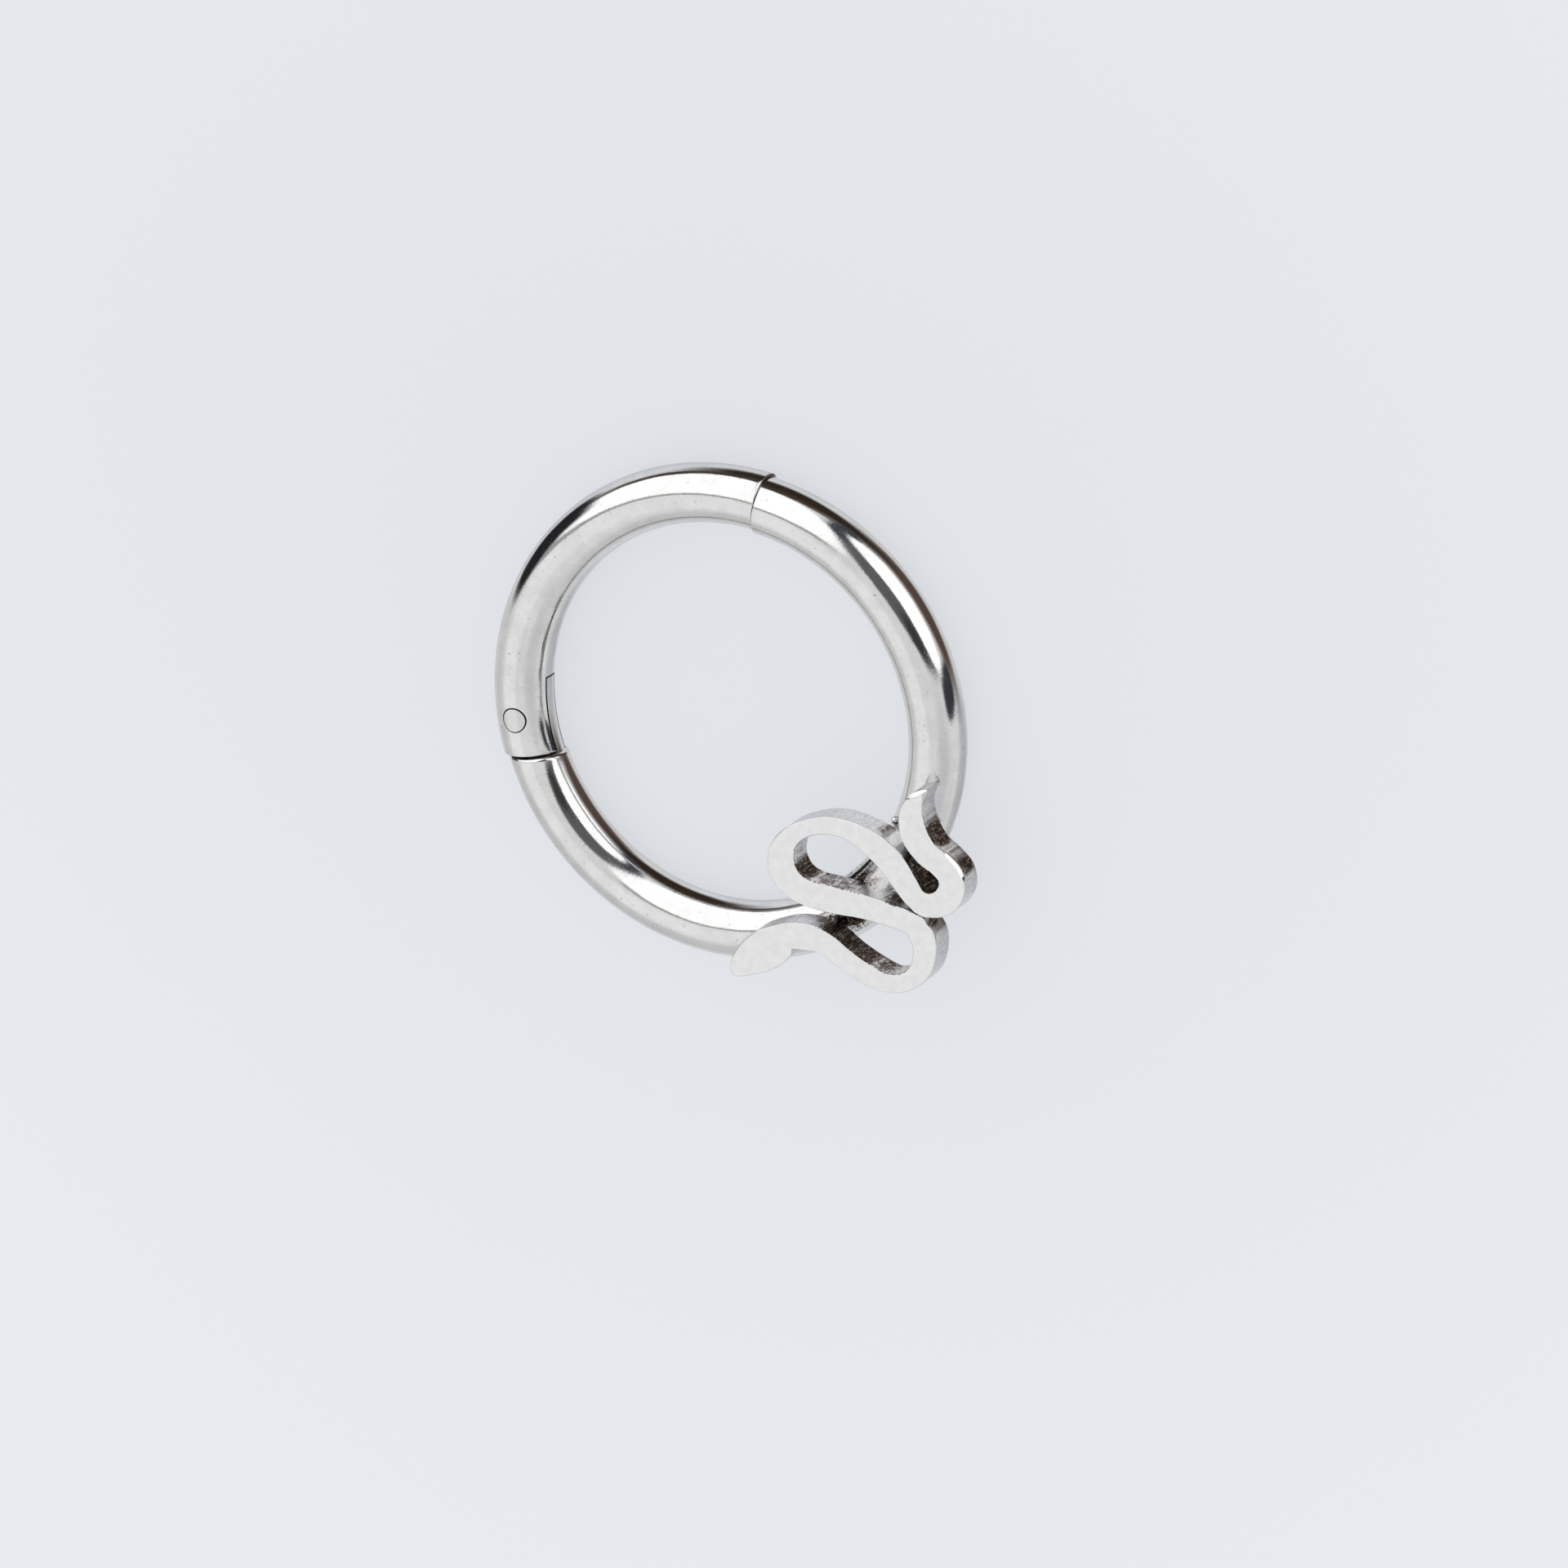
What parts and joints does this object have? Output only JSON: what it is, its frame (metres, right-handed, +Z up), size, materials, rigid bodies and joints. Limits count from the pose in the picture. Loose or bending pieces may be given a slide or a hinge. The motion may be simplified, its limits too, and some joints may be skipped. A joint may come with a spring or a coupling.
{
  "type": "hinged piercing ring",
  "caption": "Hinged segment ring of round polished wire for a piercing, with a flat coiled snake soldered across its lower front and an arc-shaped gate that swings out on a small pin.",
  "frame": {"origin": "middle of the ring's footprint, on the surface that it lies on", "axes": "+Z up along the ring's axis and out of its front, where the snake is; +X towards the snake's side"},
  "size_m": [0.011, 0.0104, 0.0018],
  "materials": {
    "polished_steel": "polished stainless steel, with a satin front on the snake",
    "pin_steel": "ground flush with the gate"
  },
  "bodies": {
    "hoop": {"hoop_with_snake": "polished_steel"},
    "gate": {"gate": "polished_steel", "hinge_pin": "pin_steel"}
  },
  "joints": [
    {"name": "gate_hinge", "type": "hinge", "parent": "hoop", "child": "gate", "pos_m": [-0.00486, -0.00071, 0.00061], "axis": [0, 0, 1], "range_deg": [0, 70]}
  ]
}
